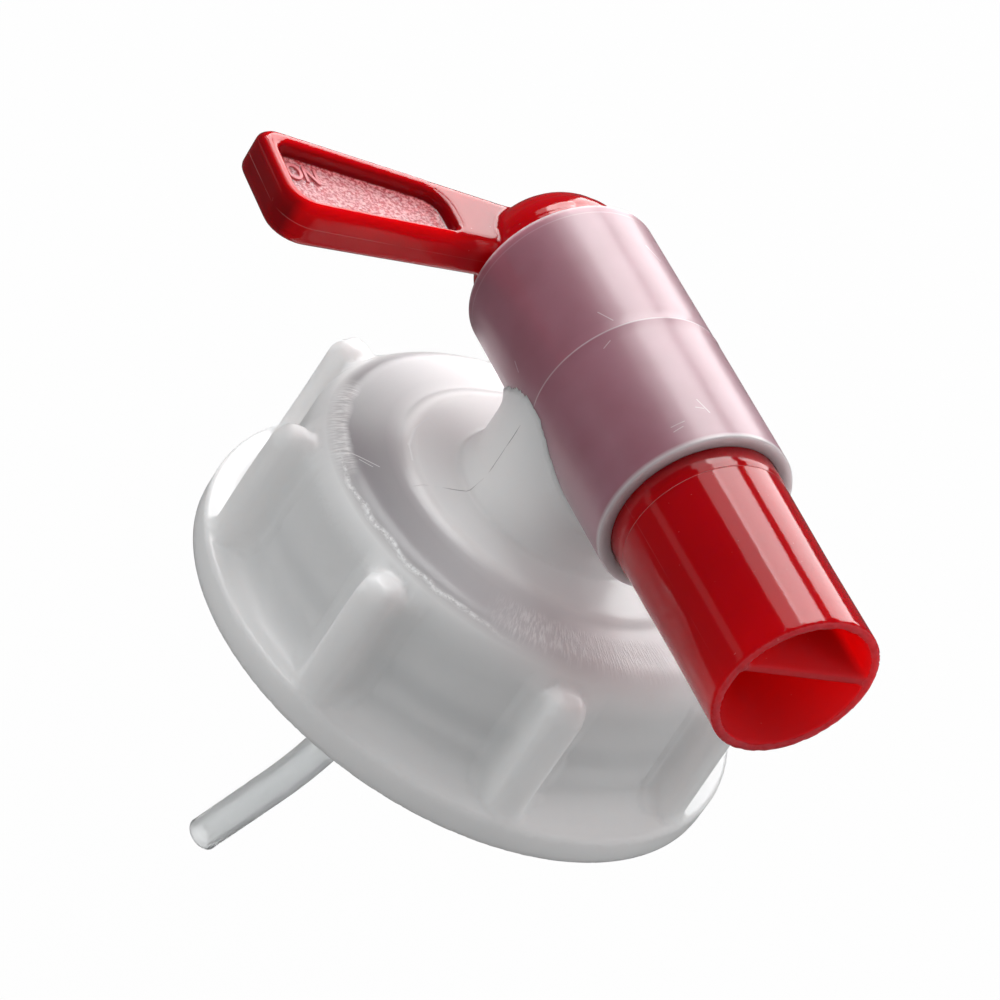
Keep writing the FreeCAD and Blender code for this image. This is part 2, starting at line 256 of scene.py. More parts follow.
def turned_outline(corners):
    """Points along corners of (radius, height, rounding), with each rounding as a fine arc."""
    points = []
    for index, (radius, height, rounding) in enumerate(corners):
        corner = np.array((radius, height), float)
        if rounding == 0 or index in (0, len(corners) - 1):
            points.append(corner)
            continue
        before = np.array(corners[index - 1][:2], float) - corner
        after = np.array(corners[index + 1][:2], float) - corner
        before /= np.linalg.norm(before)
        after /= np.linalg.norm(after)
        half = math.acos(np.clip(before @ after, -1, 1)) / 2
        middle = before + after
        middle /= np.linalg.norm(middle)
        centre = corner + middle * rounding / math.sin(half)
        start = corner + before * rounding / math.tan(half) - centre
        sweep = math.pi - 2 * half
        steps = max(4, math.ceil(sweep / ARC_STEP))
        turn_way = np.sign(before[1] * after[0] - before[0] * after[1])
        for step in range(steps + 1):
            angle = turn_way * sweep * step / steps
            spin = np.array(((math.cos(angle), -math.sin(angle)), (math.sin(angle), math.cos(angle))))
            points.append(centre + spin @ start)
    return np.array(points) * MM


def points_of(piece):
    """A piece's points as an array in metres."""
    places = np.empty(len(piece.data.vertices) * 3, np.float32)
    piece.data.vertices.foreach_get("co", places)
    return places.reshape(-1, 3).astype(float)


def put_points(piece, places):
    """Writes an array of points in metres back to a piece."""
    piece.data.vertices.foreach_set("co", places.astype(np.float32).ravel())
    piece.data.update()


def nearest_on(outline, spots):
    """Nearest point of an outline for each spot, both in the plane of radius and height."""
    starts = outline[:-1]
    runs = outline[1:] - starts
    lengths = (runs ** 2).sum(1)
    share = ((spots[:, None] - starts) * runs).sum(2) / lengths
    feet = starts + runs * np.clip(share, 0, 1)[..., None]
    gaps = np.linalg.norm(spots[:, None] - feet, axis=2)
    best = gaps.argmin(1)
    rows = np.arange(len(spots))
    return feet[rows, best], gaps[rows, best]


def true_up(piece, outline, along, centre, grip=0.36 * MM):
    """Moves a piece's points onto an outline turned about an axis, where they lie near it."""
    offset = points_of(piece) - np.array(centre)
    height = offset[:, along].copy()
    offset[:, along] = 0
    radius = np.linalg.norm(offset, axis=1)
    spots = np.stack((radius, height), 1)
    feet = np.empty_like(spots)
    gaps = np.empty(len(spots))
    for first in range(0, len(spots), PORTION):
        part = slice(first, first + PORTION)
        feet[part], gaps[part] = nearest_on(outline, spots[part])
    pull = np.clip((grip - gaps) / (grip * 0.4), 0, 1)[:, None]
    goal = spots + (feet - spots) * pull
    trued = offset * (goal[:, :1] / np.maximum(radius, 1e-9)[:, None])
    trued[:, along] = goal[:, 1]
    put_points(piece, trued + np.array(centre))
    print(piece.name, "trued up", int((gaps < grip).sum()), "points")


print("arcs turn in steps of", round(math.degrees(ARC_STEP)), "degrees")

# %% [markdown]
# ## Cap and barrel
# The cap, its eight fins, the neck and the barrel are one moulding in milky plastic. The net over
# it is 0.55 mm, fine enough for a soft edge and still light. Two outlines true it up: one turned
# about the cap's axis, one about the barrel's.

# %% Cap and barrel in one skin
CAP_NET = 0.55 * MM
FLANGE_TOP = 4.1
BARREL_HEIGHT = 43.8
barrel_centre = (0, 0, BARREL_HEIGHT * MM)
cap_outline = turned_outline([
    (36.0, 0, 0),
    (38.15, 0, 0.5),
    (38.15, FLANGE_TOP, 0.35),
    (32.6, FLANGE_TOP, 4.3),
    (32.0, 23.8, 4.9),
    (21.9, 24.65, 2.2),
    (20.4, 25.2, 2.2),
    (13.4, 25.2, 0.6),
    (12.3, 28.0, 2.8),
    (12.3, 30.5, 0),
])
cap = copy_of_solid("tap_body", "cap_and_barrel")
remould(cap, CAP_NET, 3)
true_up(cap, cap_outline, 2, (0, 0, 0))

# %% [markdown]
# ## Soft feet of the fins
# Where a fin meets the skirt, the mould has a generous inner rounding. The net alone keeps that
# corner nearly sharp, so its points are moved onto a round of 2.6 mm beside each flank.

# %% Rounded feet beside the fins
FIN_FIRST = math.radians(27)
FIN_STEP = math.radians(45)
FIN_HALF = 2.4
FIN_REACH = 37.0
FIN_TOP = 22.3
FIN_FADE = 2.0
FOOT_ROUNDING = 2.6


def blend_fins(piece, rounding):
    """Rounds the inner corner between each fin's flank and the skirt."""
    places = points_of(piece) / MM
    radius = np.hypot(places[:, 0], places[:, 1])
    angle = np.arctan2(places[:, 1], places[:, 0]) - FIN_FIRST
    fin = np.round(angle / FIN_STEP) * FIN_STEP
    aside = radius * np.sin(angle - fin)
    out = radius * np.cos(angle - fin)
    on_skirt = (cap_outline[:, 0] > 29 * MM) & (cap_outline[:, 1] > FLANGE_TOP * MM)
    skirt = cap_outline[on_skirt] / MM
    wall = np.interp(places[:, 2], skirt[:, 1], skirt[:, 0])
    size = np.minimum(rounding, (FIN_REACH - wall) * 0.8)
    centre_out = wall + size
    centre_aside = FIN_HALF + size
    from_centre = np.hypot(out - centre_out, np.abs(aside) - centre_aside)
    inside = (out < centre_out) & (np.abs(aside) < centre_aside) & (np.abs(aside) > FIN_HALF - 0.25)
    inside &= (out > wall - 0.4) & (from_centre > size)
    inside &= (places[:, 2] > FLANGE_TOP + 0.3) & (places[:, 2] < FIN_TOP)
    share = size / np.maximum(from_centre, 1e-6)
    fade = np.clip((FIN_TOP - places[:, 2]) / FIN_FADE, 0, 1)
    share = 1 - (1 - share) * fade
    new_out = centre_out + (out - centre_out) * share
    new_aside = np.sign(aside) * (centre_aside + (np.abs(aside) - centre_aside) * share)
    turn = FIN_FIRST + fin
    moved = np.stack((new_out * np.cos(turn) - new_aside * np.sin(turn),
                      new_out * np.sin(turn) + new_aside * np.cos(turn), places[:, 2]), 1)
    places[inside] = moved[inside]
    put_points(piece, places * MM)
    print(piece.name, "blended", int(inside.sum()), "points")


blend_fins(cap, FOOT_ROUNDING)

# %% [markdown]
# ## Room for the barrel's skin
# The barrel gets a turned skin of its own in the next step. The net's own barrel wall is drawn in
# by half a millimetre first, so that it stays hidden under that skin.

# %% Barrel wall drawn in
SKIN_INSIDE = 12.4
WALL_FROM = 11.6
WALL_TO = 13.05
NECK_TOP = 30.0
ROUND_BARREL = 14
SPOUT_END, DOME_END = -21.0, 20.8


def make_room_for_skin(piece):
    """Draws the barrel's outer wall and ends inwards, so that the turned skin covers them."""
    places = points_of(piece) / MM
    drop = places[:, 2] - BARREL_HEIGHT
    radius = np.hypot(places[:, 0], drop)
    outer = (radius > WALL_FROM) & (radius < WALL_TO) & (places[:, 2] > NECK_TOP)
    shrink = np.where(outer, np.minimum(1.0, SKIN_INSIDE / np.maximum(radius, 1e-6)), 1.0)
    places[:, 0] *= shrink
    places[:, 2] = BARREL_HEIGHT + drop * shrink
    at_barrel = radius < ROUND_BARREL
    places[:, 1] = np.where(at_barrel, np.clip(places[:, 1], SPOUT_END, DOME_END), places[:, 1])
    put_points(piece, places * MM)
    print(piece.name, "drew in", int(outer.sum()), "points")


make_room_for_skin(cap)
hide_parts("tap_body")
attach(cap, "body")

# %% [markdown]
# ## Turned skin of the barrel
# The barrel is the part that the eye meets first, with long highlights and a crisp end ring, so it
# gets an exact wall: an outline turned about its axis. The thin ring round its middle is where the
# two halves of the mould met. The skin is left open over the neck, where the liquid comes up.

# %% Meshes turned from an outline
def about_barrel(radius, along, angle):
    """Place at a radius, a distance along and an angle round the barrel's axis."""
    return radius * math.cos(angle), along, BARREL_HEIGHT * MM + radius * math.sin(angle)


def about_cap(radius, along, angle):
    """Place at a radius, a height and an angle round the cap's axis."""
    return radius * math.sin(angle), radius * math.cos(angle), along


def meshed(name, points, faces):
    """New smooth object made of points in metres and faces."""
    mesh = bpy.data.meshes.new(name)
    mesh.from_pydata(points, [], faces)
    mesh.validate()
    mesh.shade_smooth()
    piece = bpy.data.objects.new(name, mesh)
    bpy.context.scene.collection.objects.link(piece)
    print(name, "has", len(mesh.polygons), "faces")
    return piece


def turned_mesh(name, outline, steps, place=about_barrel, skip=None):
    """Mesh turned from a closed outline, without the faces that skip names."""
    angles = np.arange(steps) * 2 * math.pi / steps
    count = len(outline)
    points = [place(radius, along, angle) for angle in angles for radius, along in outline]
    faces = []
    for step in range(steps):
        here = step * count
        there = (step + 1) % steps * count
        for index in range(count):
            following = (index + 1) % count
            face = (here + index, there + index, there + following, here + following)
            middle = sum((Vector(points[corner]) for corner in face), Vector()) / 4
            if skip and skip(middle / MM):
                continue
            faces.append(face)
    return meshed(name, points, faces)


def finely(outline, longest):
    """Adds points to an outline's long straight runs."""
    result = []
    for start, end in zip(outline, np.roll(outline, -1, axis=0)):
        parts = max(1, math.ceil(np.linalg.norm(end - start) / longest))
        result.extend(start + (end - start) * part / parts for part in range(parts))
    return np.array(result)


# %% Barrel skin
SEAM_AT = -0.25
SEAM_RISE = 0.05
SPOUT_END_RADIUS, SEAM_RADIUS, DOME_END_RADIUS = 12.68, 12.79, 12.84
SKIN_STEP = 1.5 * MM
NECK_RADIUS = 12.0
OPEN_BELOW = BARREL_HEIGHT - 9


def over_the_neck(spot):
    """Whether a place lies inside the neck, under the barrel."""
    return math.hypot(spot.x, spot.y) < NECK_RADIUS and spot.z < OPEN_BELOW


skin_outline = turned_outline([
    (11.9, -20.6, 0),
    (11.03, -20.6, 0),
    (11.03, -21.4, 0.12),
    (SPOUT_END_RADIUS, -21.4, 0.25),
    (SEAM_RADIUS, SEAM_AT - 0.3, 0),
    (SEAM_RADIUS + SEAM_RISE, SEAM_AT - 0.08, 0),
    (SEAM_RADIUS + SEAM_RISE, SEAM_AT + 0.08, 0),
    (SEAM_RADIUS, SEAM_AT + 0.3, 0),
    (DOME_END_RADIUS, 21.2, 0.4),
    (11.03, 21.2, 0.12),
    (11.03, 20.4, 0),
    (11.9, 20.4, 0),
])
skin = turned_mesh("barrel_skin", finely(skin_outline, SKIN_STEP), 160, skip=over_the_neck)
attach(skin, "body")

# %% [markdown]
# ## Plug with spout and lever
# The red plug turns inside the barrel. Its dome, spout and lever are one moulding too. It is
# glossy, so its round walls must be exact: a highlight shows the smallest ripple.

# %% Plug in one skin
PLUG_NET = 0.4 * MM
DOME_RADIUS = 10.95
DOME_CENTRE = 22.0
SPOUT_BORE = 9.45
plug_outline = turned_outline([
    (SPOUT_BORE, -48.0, 0),
    (SPOUT_BORE, -50.35, 0.35),
    (10.65, -50.35, 0.4),
    (10.65, -38.35, 0),
    (10.86, -23.9, 0),
    (DOME_RADIUS, -23.9, 0),
    (DOME_RADIUS, -18.6, 0),
])
dome_outline = np.array([(DOME_RADIUS, -16.6)] + [
    (DOME_RADIUS * math.cos(angle), DOME_CENTRE + DOME_RADIUS * math.sin(angle))
    for angle in np.linspace(0, math.pi / 2, 40)
]) * MM
inner_outline = np.array([(SPOUT_BORE, -48.0), (SPOUT_BORE, 21.0)]) * MM
plug = copy_of_solid("valve_plug", "plug_and_lever")
remould(plug, PLUG_NET, 5)
for outline in (plug_outline, dome_outline, inner_outline):
    true_up(plug, outline, 1, barrel_centre, 0.2 * MM)
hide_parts("valve_plug")
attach(plug, "plug")

# %% [markdown]
# ## Raised words in the lever's pockets
# Each face of the lever has a word, so that the reader sees which way the tap stands. The
# letters are flat text given a little height, then made into a mesh and set on the pocket's floor.

# %% ON and OFF
POCKET_FLOOR = 1.1
LETTER_RISE = 0.28
LETTER_SUNK = 0.08
LETTER_HEIGHT = 4.2
NARROW = 0.72


def raised_word(text, name, place, across, up):
    """Raised letters that start at a place and read along one direction."""
    font = bpy.data.curves.new(name, "FONT")
    font.body = text
    font.size = LETTER_HEIGHT * MM
    font.extrude = LETTER_RISE * MM / 2
    font.bevel_depth = 0.06 * MM
    font.offset = 0.04 * MM
    source = bpy.data.objects.new(name + "_outline", font)
    bpy.context.scene.collection.objects.link(source)
    settled = source.evaluated_get(bpy.context.evaluated_depsgraph_get())
    mesh = bpy.data.meshes.new_from_object(settled)
    bpy.data.objects.remove(source)
    word = bpy.data.objects.new(name, mesh)
    bpy.context.scene.collection.objects.link(word)
    out = Vector(across).cross(Vector(up))
    frame_turn = Matrix((Vector(across) * NARROW, Vector(up), out)).transposed().to_4x4()
    mesh.transform(Matrix.Translation(Vector(place) * MM) @ frame_turn)
    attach(word, "plug")
    return word


lift = POCKET_FLOOR + LETTER_RISE / 2 - LETTER_SUNK
word_on = raised_word("ON", "word_on", (-38.7, 30.7, BARREL_HEIGHT + lift), (1, -0.08, 0), (0.08, 1, 0))
word_off = raised_word("OFF", "word_off", (-27.0, 27.5, BARREL_HEIGHT - lift), (-1, 0.08, 0), (0.08, 1, 0))
print("letters:", len(word_on.data.polygons) + len(word_off.data.polygons), "faces")

# %% [markdown]
# ## Thread inside the cap
# The cap screws on with a coarse thread, one rounded ridge that winds up the inside wall. A ridge
# is a section swept along a helix. Its ends taper off, as the end of a cut thread in a mould does.

# %% Thread ridge
WALL_RADIUS = 30.65
THREAD_START = 3.2
THREAD_PITCH = 5.0
THREAD_TURNS = 2.4
STEPS_A_TURN = 96
TAPER_SHARE = 0.06
ridge_section = [(0.35, -1.55), (-0.6, -1.1), (-1.25, -0.45), (-1.25, 0.45), (-0.6, 1.1), (0.35, 1.55)]


def thread_ridge():
    """Ridge on the cap's inside wall, swept along a helix with tapered ends."""
    steps = int(THREAD_TURNS * STEPS_A_TURN)
    width = len(ridge_section)
    points = []
    faces = []
    for step in range(steps + 1):
        angle = 2 * math.pi * THREAD_TURNS * step / steps
        share = min(step, steps - step) / (steps * TAPER_SHARE)
        size = max(0.02, min(1.0, share)) ** 0.5
        climb = THREAD_START + THREAD_PITCH * THREAD_TURNS * step / steps
        for inward, rise in ridge_section:
            radius = WALL_RADIUS + (inward if inward > 0 else inward * size)
            place = (radius * math.cos(angle), radius * math.sin(angle), climb + rise * size)
            points.append(Vector(place) * MM)
    for step in range(steps):
        here = step * width
        there = here + width
        for side in range(width):
            after = (side + 1) % width
            faces.append((here + side, here + after, there + after, there + side))
    faces.append(tuple(range(width))[::-1])
    faces.append(tuple(range(steps * width, (steps + 1) * width)))
    return meshed("thread_ridge", points, faces)


ridge = thread_ridge()
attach(ridge, "body")

# %% [markdown]
# ## Sealing ring
# The ring is cut from soft sheet and lies in the top of the cap, where the drum's rim presses on
# it. Its edges are slightly soft, so it is turned from an outline as well.

# %% Sealing ring
ring_outline = turned_outline([
    (25.5, 19.2, 0),
    (28.6, 19.2, 0.35),
    (28.6, 21.2, 0.35),
    (22.5, 21.2, 0.35),
    (22.5, 19.2, 0.35),
    (25.4, 19.2, 0),
])
seal = turned_mesh("seal_ring", ring_outline, 128, about_cap)
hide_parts("cap_gasket")
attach(seal, "body")

# %% [markdown]
# ## Breather tube
# The tube is drawn, then bent once while warm. It is two skins swept along one middle line,
# joined by a small rounded lip at each end, where the knife has left the edge a little soft.

# %% Middle line of the tube
TUBE_START = Vector((0, 7.5, 20.6))
TUBE_BEND_START = Vector((0, 7.5, -10.0))
BEND_RADIUS = 98.0
BEND_ANGLE = math.radians(17.8)
BEND_HEADING = math.radians(126)
END_RUN = 14.7


def tube_middle_line():
    """Places along the tube's middle line, each with the direction that the tube runs in."""
    aside = Vector((math.cos(BEND_HEADING), math.sin(BEND_HEADING), 0))
    down = Vector((0, 0, -1))
    stations = [(TUBE_START.lerp(TUBE_BEND_START, share), down) for share in np.linspace(0, 1, 16)]
    for angle in np.linspace(0, BEND_ANGLE, 25)[1:]:
        shift = aside * BEND_RADIUS * (1 - math.cos(angle)) + down * BEND_RADIUS * math.sin(angle)
        stations.append((TUBE_BEND_START + shift, aside * math.sin(angle) + down * math.cos(angle)))
    last, run = stations[-1]
    stations.extend((last + run * END_RUN * share, run) for share in np.linspace(0, 1, 9)[1:])
    return stations


stations = tube_middle_line()
print("the tube ends at", [round(v, 1) for v in stations[-1][0]], "mm")

# %% Tube swept along it
TUBE_RADIUS = 2.4
TUBE_BORE = 1.6
LIP = 0.12
TUBE_AROUND = 40


def lip_rings(place, run):
    """Four rings that fold a tube's wall over its cut end, from outside to bore; run leads outwards."""
    back = place - run * LIP
    radii = (TUBE_RADIUS, TUBE_RADIUS - LIP, TUBE_BORE + LIP / 2, TUBE_BORE)
    return [(spot, radius) for spot, radius in zip((back, place, place, back), radii)]


def swept_tube(name):
    """Hollow tube along its middle line, closed at both ends by a softened lip."""
    first, first_run = stations[0]
    last, last_run = stations[-1]
    rings = [(place, run, TUBE_RADIUS) for place, run in stations[1:-1]]
    rings.extend((place, last_run, radius) for place, radius in lip_rings(last, last_run))
    rings.extend((place, run, TUBE_BORE) for place, run in reversed(stations[1:-1]))
    rings.extend((place, first_run, radius) for place, radius in reversed(lip_rings(first, -first_run)))
    level_way = Vector((-math.sin(BEND_HEADING), math.cos(BEND_HEADING), 0))
    points = []
    for place, run, radius in rings:
        for step in range(TUBE_AROUND):
            angle = 2 * math.pi * step / TUBE_AROUND
            way = level_way * math.cos(angle) + run.cross(level_way) * math.sin(angle)
            points.append((place + radius * way) * MM)
    faces = []
    for ring in range(len(rings)):
        here = ring * TUBE_AROUND
        there = (ring + 1) % len(rings) * TUBE_AROUND
        for step in range(TUBE_AROUND):
            after = (step + 1) % TUBE_AROUND
            faces.append((here + step, here + after, there + after, there + step))
    return meshed(name, points, faces)


tube = swept_tube("bent_tube")
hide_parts("breather_tube")
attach(tube, "body")

# %% [markdown]
# ## Masks from the place on a piece
# The marks of a moulded piece lie at known places: a seam, a worn edge, a scratch. Each is given
# as a mask, a share between 0 and 1, worked out from the place on the piece in millimetres. So it
# needs no picture and no unwrapping. The helpers below each make one or a few math nodes.

# %% Numbers and masks
def number(tree, operation, first, second=None, third=None, clamp=False):
    """Math node on numbers or the outputs of other nodes."""
    node = tree.nodes.new("ShaderNodeMath")
    node.operation = operation
    node.use_clamp = clamp
    for index, value in enumerate((first, second, third)):
        if value is None:
            continue
        if isinstance(value, (int, float)):
            node.inputs[index].default_value = value
        else:
            tree.links.new(value, node.inputs[index])
    return node.outputs[0]


def place_on_piece(tree):
    """Place in the tap's frame, in millimetres, as a vector and as three numbers."""
    source = tree.nodes.new("ShaderNodeTexCoord")
    scale = tree.nodes.new("ShaderNodeVectorMath")
    scale.operation = "SCALE"
    scale.inputs["Scale"].default_value = METRES_TO_MM
    tree.links.new(source.outputs["Object"], scale.inputs[0])
    split = tree.nodes.new("ShaderNodeSeparateXYZ")
    tree.links.new(scale.outputs[0], split.inputs[0])
    return scale.outputs[0], split.outputs[0], split.outputs[1], split.outputs[2]


def product(tree, *shares):
    """Numbers or outputs multiplied with each other, the first one an output."""
    total = shares[0]
    for share in shares[1:]:
        total = number(tree, "MULTIPLY", total, share)
    return total


def total_of(tree, *parts):
    """Sum of outputs."""
    total = parts[0]
    for part in parts[1:]:
        total = number(tree, "ADD", total, part)
    return total


def any_of(tree, *masks):
    """Largest of some masks."""
    total = masks[0]
    for mask in masks[1:]:
        total = number(tree, "MAXIMUM", total, mask)
    return total


def ramp(tree, value, zero_at, one_at):
    """0 where a value is at one mark, 1 where it is at the other, and even in between."""
    slope = 1 / (one_at - zero_at)
    return number(tree, "MULTIPLY_ADD", value, slope, -zero_at * slope, clamp=True)


def band(tree, value, low, high, soft):
    """1 between two limits, falling to 0 over a soft width outside them."""
    return product(tree, ramp(tree, value, low - soft, low), ramp(tree, value, high + soft, high))


def off(tree, value, mark):
    """How far a value is from a mark, to either side."""
    return number(tree, "ABSOLUTE", number(tree, "SUBTRACT", value, mark))


def thin_line(tree, value, mark, width):
    """1 on a mark, falling to 0 at a width to either side."""
    return ramp(tree, off(tree, value, mark), width, 0)


def across(tree, first, second):
    """Distance from the axis that two numbers are measured from."""
    squares = total_of(tree, product(tree, first, first), product(tree, second, second))
    return number(tree, "SQRT", squares)


# %% Noise, colours and a surface
def noise(tree, vector, scale, detail=2.0, roughness=0.5):
    """Smooth noise between 0 and 1 at a scale in turns per millimetre."""
    node = add(tree, "TexNoise", Scale=scale, Detail=detail, Roughness=roughness)
    tree.links.new(vector, node.inputs["Vector"])
    return node.outputs[0]


def mixed(tree, share, first, second):
    """Colour between two colours, each a constant or another node's output."""
    node = tree.nodes.new("ShaderNodeMix")
    node.data_type = "RGBA"
    tree.links.new(share, node.inputs["Factor"])
    for name, value in (("A", first), ("B", second)):
        socket = [s for s in node.inputs if s.name == name and s.type == "RGBA"][0]
        if isinstance(value, tuple):
            socket.default_value = (*value, 1)
        else:
            tree.links.new(value, socket)
    return [s for s in node.outputs if s.type == "RGBA"][0]


def surface(tree, output, colour, rough, relief=None, strength=0.5, height=0.1, **settings):
    """Plastic surface. Colour and relief are outputs, roughness may be a constant, height is in mm."""
    shell = add(tree, "BsdfPrincipled", **settings)
    tree.links.new(colour, shell.inputs["Base Color"])
    if isinstance(rough, float):
        shell.inputs["Roughness"].default_value = rough
    else:
        tree.links.new(rough, shell.inputs["Roughness"])
    if relief is not None:
        bump = add(tree, "Bump", Strength=strength, Distance=height * MM)
        tree.links.new(relief, bump.inputs["Height"])
        tree.links.new(bump.outputs[0], shell.inputs["Normal"])
    tree.links.new(shell.outputs[0], output.inputs["Surface"])


# %% [markdown]
# ## Scratches and a painted highlight
# The barrel and the crown bear a few thin scratches. Four strokes on the crown are no scratch but a
# painted highlight: the bright crescent along the left edge of the raised disc. Each is a straight
# line between two places, and a short chain of nodes works out how far a point of the skin is from
# it. On the barrel the places are given by the angle round it, and on the crown they lie in its plane.

# %% Scratches
SCRATCH_WIDTH = 0.09


def vector_math(tree, operation, first, second=None):
    """Vector math node on constants or the outputs of other nodes."""
    node = tree.nodes.new("ShaderNodeVectorMath")
    node.operation = operation
    for index, value in enumerate((first, second)):
        if value is None:
            continue
        if isinstance(value, (tuple, Vector)):
            node.inputs[index].default_value = value
        else:
            tree.links.new(value, node.inputs[index])
    return node


def stroke(tree, vector, start, end, width):
    """1 along a straight scratch between two places in millimetres, fading over its width."""
    run = Vector(end) - Vector(start)
    along = vector_math(tree, "SUBTRACT", vector, start).outputs[0]
    share = vector_math(tree, "DOT_PRODUCT", along, run / run.length_squared)
    clamped = number(tree, "ADD", share.outputs["Value"], 0.0, clamp=True)
    foot = vector_math(tree, "SCALE", run)
    tree.links.new(clamped, foot.inputs["Scale"])
    aside = vector_math(tree, "SUBTRACT", along, foot.outputs[0]).outputs[0]
    gap = vector_math(tree, "LENGTH", aside).outputs["Value"]
    return ramp(tree, gap, width, 0)


def on_barrel(degrees, along):
    """Place on the barrel's wall, from the angle round it and the distance along it."""
    stations = (-21.4, SEAM_AT, 21.2)
    radius = float(np.interp(along, stations, (SPOUT_END_RADIUS, SEAM_RADIUS, DOME_END_RADIUS)))
    angle = math.radians(degrees)
    return radius * math.cos(angle), along, BARREL_HEIGHT + radius * math.sin(angle)


barrel_scratches = [
    (on_barrel(134, 3.1), on_barrel(129, 1.0)),
    (on_barrel(131, -17.8), on_barrel(123, -17.6)),
    (on_barrel(131, -18.6), on_barrel(125, -18.3)),
    (on_barrel(110, -14.7), on_barrel(107, -17.1)),
    (on_barrel(141, -2.4), on_barrel(136, -1.8)),
    (on_barrel(193, 6.8), on_barrel(195, 5.3)),
    (on_barrel(113, -15.9), on_barrel(109, -16.3)),
    (on_barrel(81, 14.2), on_barrel(75, 11.9)),
]
crown_scratches_and_highlight = [
    ((-28.0, 5.3, 0), (-25.0, 3.1, 0), 0.1),
    ((-27.4, 4.2, 0), (-26.0, 3.0, 0), 0.08),
    # Painted highlight: the four strokes below trace a bright crescent along the disc's left edge.
    ((-19.9, 4.4, 0), (-19.1, 7.4, 0), 0.2),
    ((-19.1, 7.4, 0), (-16.9, 10.6, 0), 0.3),
    ((-16.9, 10.6, 0), (-13.6, 13.3, 0), 0.22),
    ((-13.6, 13.3, 0), (-12.9, 11.6, 0), 0.12),
]
print("scratches:", len(barrel_scratches), "on the barrel,", len(crown_scratches_and_highlight), "strokes on the crown")

# %% [markdown]
# ## Worn shoulder
# The edge of the crown has been rubbed pale in three places: a brushed patch, a thin crumbly line
# and a faint comb of short strokes. Their strokes run outwards, so the noise for them is stretched
# along the radius, by feeding it the angle and the radius in place of x and y.

# %% Worn shoulder
RADIANS_TO_DEGREES = 57.3
SHOULDER = 29.9


def worn_shoulder(tree, vector, x, y, z, from_cap, cloud):
    """Share to which the crown's shoulder has been rubbed pale."""
    left = product(tree, x, -1.0)
    front = product(tree, y, -1.0)
    turned = product(tree, number(tree, "ARCTAN2", front, left), RADIANS_TO_DEGREES)
    outwards = tree.nodes.new("ShaderNodeCombineXYZ")
    tree.links.new(product(tree, turned, 0.5), outwards.inputs[0])
    tree.links.new(product(tree, from_cap, 0.15), outwards.inputs[1])
    brushed = noise(tree, outwards.outputs[0], 3.3, 2.0, 0.65)
    bristles = ramp(tree, brushed, 0.42, 0.62)
    fine_bristles = ramp(tree, brushed, 0.45, 0.617)
    crumbs = ramp(tree, noise(tree, vector, 1.5, 2.0, 0.7), 0.38, 0.58)
    edge = total_of(tree, from_cap, number(tree, "MULTIPLY_ADD", cloud, 1.6, -0.8))
    patch = product(tree, band(tree, turned, -36, -11, 9), band(tree, edge, 28.9, 30.3, 0.9),
                    number(tree, "MULTIPLY_ADD", bristles, 0.6, 0.4))
    line = product(tree, thin_line(tree, edge, SHOULDER, 0.42), band(tree, turned, -8, 46, 14),
                   number(tree, "MULTIPLY_ADD", crumbs, 0.8, 0.2))
    comb = product(tree, band(tree, turned, 62, 98, 16), band(tree, edge, 24.6, 28.4, 1.6),
                   fine_bristles, 0.8)
    low_line = product(tree, band(tree, turned, -2, 20, 8), band(tree, z, 19.3, 20.4, 0.8),
                       crumbs, 0.4)
    return any_of(tree, patch, line, comb, low_line)


# %% [markdown]
# ## Milky plastic
# Unpainted plastic of this kind lets light wander inside it, so it looks soft and has almost no
# dark shadows: that is subsurface scattering. The crown's colour is a painted shade, greyer
# towards its left, and the raised disc and the neck are painted paler, painted light where the
# barrel shades them.

# %% Milky plastic
MOULD_PLANE = -0.2
milky_settings = {
    "Subsurface_Weight": 1.0,
    "Subsurface_Radius": (1.0, 0.95, 0.93),
    "Subsurface_Scale": 5.0 * MM,
    "IOR": 1.5,
}
CAP_MILK = (0.92, 0.915, 0.915), (0.95, 0.94, 0.935)
# Painted shade: the crown's second colour is a grey that darkens its left side, where less light falls.
CROWN_MILK_AND_PAINTED_SHADE = (0.90, 0.89, 0.90), (0.28, 0.272, 0.285)
# Painted light: the disc and the neck are paler than the cap, to lift them out of the barrel's shadow.
DISC_MILK_PAINTED_LIGHT = (0.985, 0.965, 0.95)
# White of the rubbed shoulder and the scratches, and of the painted highlight on the disc's edge.
RUBBED_AND_HIGHLIGHT = (1.0, 1.0, 1.0)
SEAM_SHADE = (0.10, 0.08, 0.08)


def milk_of_cap(tree, x, y, z, from_cap, cloud):
    """Colour of the skirt, the crown and the disc, with a painted shade on the crown's left and painted light
    on the disc and neck.
    """
    crown = product(tree, ramp(tree, from_cap, 14.5, 23.5), ramp(tree, z, 22.6, 23.8))
    # Painted shade: the grey grows towards the crown's left, worked out from x and y.
    crown_painted_shade = number(tree, "MULTIPLY_ADD", x, -0.036, product(tree, y, 0.006), clamp=True)
    # Painted light: a paler disc and neck, inside a radius of about 20 mm.
    disc_painted_light = ramp(tree, from_cap, 21.4, 19.4)
    milk = mixed(tree, cloud, *CAP_MILK)
    milk = mixed(tree, crown, milk, mixed(tree, crown_painted_shade, *CROWN_MILK_AND_PAINTED_SHADE))
    return mixed(tree, disc_painted_light, milk, DISC_MILK_PAINTED_LIGHT)


def parting_line(tree, y, z, cloud):
    """Broken, slightly wandering line where the two halves of the mould met on disc and neck."""
    wander = number(tree, "MULTIPLY_ADD", cloud, 0.3, -0.15)
    broken = ramp(tree, cloud, 0.38, 0.58)
    line = thin_line(tree, total_of(tree, y, wander), MOULD_PLANE, 0.11)
    return product(tree, line, band(tree, z, 25.0, 36.5, 0.3), broken)


